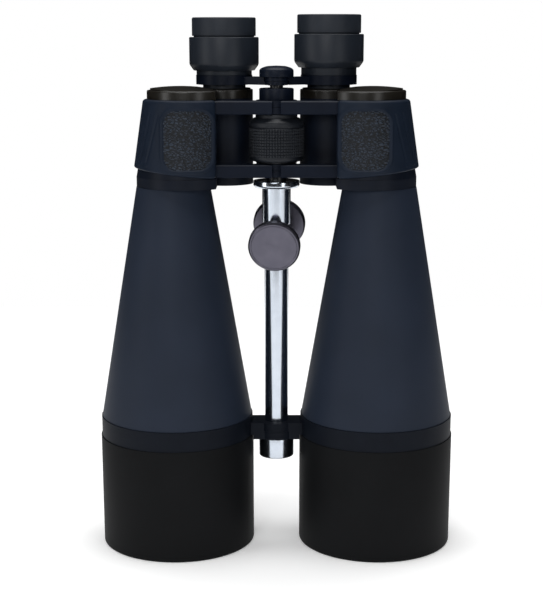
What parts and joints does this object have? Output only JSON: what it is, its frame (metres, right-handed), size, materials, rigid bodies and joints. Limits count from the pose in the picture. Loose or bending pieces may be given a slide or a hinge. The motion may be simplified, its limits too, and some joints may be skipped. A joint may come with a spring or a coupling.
{
  "type": "binoculars",
  "caption": "Giant centre-focus Porro binoculars with folding halves, a sliding eyepiece bridge, a dioptre ring and a tripod clamp on the centre rod.",
  "frame": {"origin": "on the hinge axis, in the plane of the two objective rims that the binoculars stand on", "axes": "+Z along the barrels towards the eyepieces, +X towards the right-hand half, which carries the dioptre ring, and -Y out of the grip panels and the clamp knob"},
  "size_m": [0.221, 0.096, 0.3262],
  "materials": {
    "tube_enamel": "satin black enamel on turned aluminium",
    "barrel_enamel": "satin blue-black enamel on drawn aluminium",
    "bridge_enamel": "semi-gloss black enamel on cast aluminium",
    "housing_enamel": "satin blue-black enamel on die-cast aluminium",
    "hinge_enamel": "semi-gloss blue-black enamel on die-cast aluminium",
    "armour_rubber": "smooth moulded rubber",
    "panel_rubber": "pebble-grained moulded rubber",
    "cover_enamel": "semi-gloss enamel on die-cast aluminium",
    "eyepiece_enamel": "satin blue-black enamel on turned aluminium",
    "eyecup_rubber": "smooth moulded rubber",
    "wheel_rubber": "moulded black plastic with a square knurl",
    "rod_chrome": "polished chrome plate on steel",
    "clamp_metal": "spun nickel-plated steel",
    "collar_enamel": "nickel-plated steel",
    "hinge_steel": "black anodised aluminium",
    "spring_steel": "bright spring steel",
    "inner_enamel": "matt black anodised aluminium",
    "coated_glass": "polished, anti-reflection coated",
    "prism_glass": "polished optical glass",
    "prism_shelf_metal": "matt black anodised aluminium"
  },
  "bodies": {
    "left_half": {"left_objective_tube": "tube_enamel", "left_objective_crown": "coated_glass", "left_objective_flint": "coated_glass", "left_lens_retainer": "inner_enamel", "left_barrel": "barrel_enamel", "left_front_bridge": "bridge_enamel", "left_prism_housing": "housing_enamel", "left_armour": "armour_rubber", "left_grip_panel": "panel_rubber", "left_cover_plate": "cover_enamel", "left_eyepiece_guide": "inner_enamel", "left_objective_prism": "prism_glass", "left_eye_prism": "prism_glass", "left_prism_clips": "spring_steel", "left_prism_shelf": "prism_shelf_metal", "left_upper_hinge_arm": "hinge_enamel", "left_lower_hinge_arm": "hinge_enamel", "rod": "rod_chrome", "rod_sleeve": "rod_chrome", "rod_nut": "rod_chrome", "hinge_tube": "hinge_steel", "hinge_post": "hinge_enamel"},
    "right_half": {"right_objective_tube": "tube_enamel", "right_objective_crown": "coated_glass", "right_objective_flint": "coated_glass", "right_lens_retainer": "inner_enamel", "right_barrel": "barrel_enamel", "right_front_bridge": "bridge_enamel", "right_prism_housing": "housing_enamel", "right_armour": "armour_rubber", "right_grip_panel": "panel_rubber", "right_cover_plate": "cover_enamel", "right_eyepiece_guide": "inner_enamel", "right_objective_prism": "prism_glass", "right_eye_prism": "prism_glass", "right_prism_clips": "spring_steel", "right_prism_shelf": "prism_shelf_metal", "right_upper_hinge_arm": "hinge_enamel", "right_lower_hinge_arm": "hinge_enamel"},
    "focus_wheel": {"focus_wheel": "wheel_rubber"},
    "left_ocular": {"left_eyepiece_arm": "hinge_enamel", "left_eyepiece_tube": "eyepiece_enamel", "left_lens_cell": "inner_enamel", "left_field_lens": "coated_glass", "left_eye_lens": "coated_glass", "left_eyepiece_ring": "eyepiece_enamel", "left_eyecup": "eyecup_rubber", "focus_spindle": "hinge_steel", "hub_cap": "hinge_enamel"},
    "right_ocular": {"right_eyepiece_arm": "hinge_enamel", "right_eyepiece_tube": "eyepiece_enamel"},
    "right_eyepiece": {"right_lens_cell": "inner_enamel", "right_field_lens": "coated_glass", "right_eye_lens": "coated_glass"},
    "right_dioptre_ring": {"right_eyepiece_ring": "eyepiece_enamel", "right_eyecup": "eyecup_rubber"},
    "clamp_liner": {"clamp_liner": "collar_enamel"},
    "clamp_collar": {"clamp_collar": "collar_enamel", "tripod_foot": "clamp_metal"},
    "clamp_knob": {"clamp_knob": "clamp_metal"}
  },
  "joints": [
    {"name": "interpupillary_hinge", "type": "hinge", "parent": "left_half", "child": "right_half", "pos_m": [0, 0, 0.15], "axis": [0, 0, 1], "range_deg": [-18, 20]},
    {"name": "focus_turn", "type": "hinge", "parent": "left_half", "child": "focus_wheel", "pos_m": [0, 0, 0.253], "axis": [0, 0, 1], "range_deg": [-60.5, 300.5]},
    {"name": "left_focus_slide", "type": "slide", "parent": "left_half", "child": "left_ocular", "axis": [0, 0, 1], "range_m": [-0.0012, 0.006]},
    {"name": "right_focus_slide", "type": "slide", "parent": "right_half", "child": "right_ocular", "axis": [0, 0, 1], "range_m": [-0.00121, 0.00601]},
    {"name": "right_dioptre_slide", "type": "slide", "parent": "right_ocular", "child": "right_eyepiece", "axis": [0, 0, 1], "range_m": [-0.00181, 0.00181]},
    {"name": "right_dioptre_turn", "type": "hinge", "parent": "right_eyepiece", "child": "right_dioptre_ring", "pos_m": [0.0318, 0.018, 0.3], "axis": [0, 0, 1], "range_deg": [-90, 90]},
    {"name": "clamp_slide", "type": "slide", "parent": "left_half", "child": "clamp_liner", "axis": [0, 0, 1], "range_m": [-0.05, 0]},
    {"name": "clamp_turn", "type": "hinge", "parent": "clamp_liner", "child": "clamp_collar", "pos_m": [0, 0, 0.1944], "axis": [0, 0, 1], "range_deg": [-10, 10]},
    {"name": "clamp_knob_turn", "type": "hinge", "parent": "clamp_collar", "child": "clamp_knob", "pos_m": [-0.00129, -0.01391, 0.19052], "axis": [-0.089, -0.9595, -0.2672], "range_deg": [-30, 360]}
  ],
  "couplings": [
    {"joint": "focus_turn", "follows": "left_focus_slide", "rad_per_m": 872.66},
    {"joint": "right_focus_slide", "follows": "left_focus_slide", "ratio": 1},
    {"joint": "right_dioptre_slide", "follows": "right_dioptre_turn", "m_per_rad": 0.0011459}
  ]
}
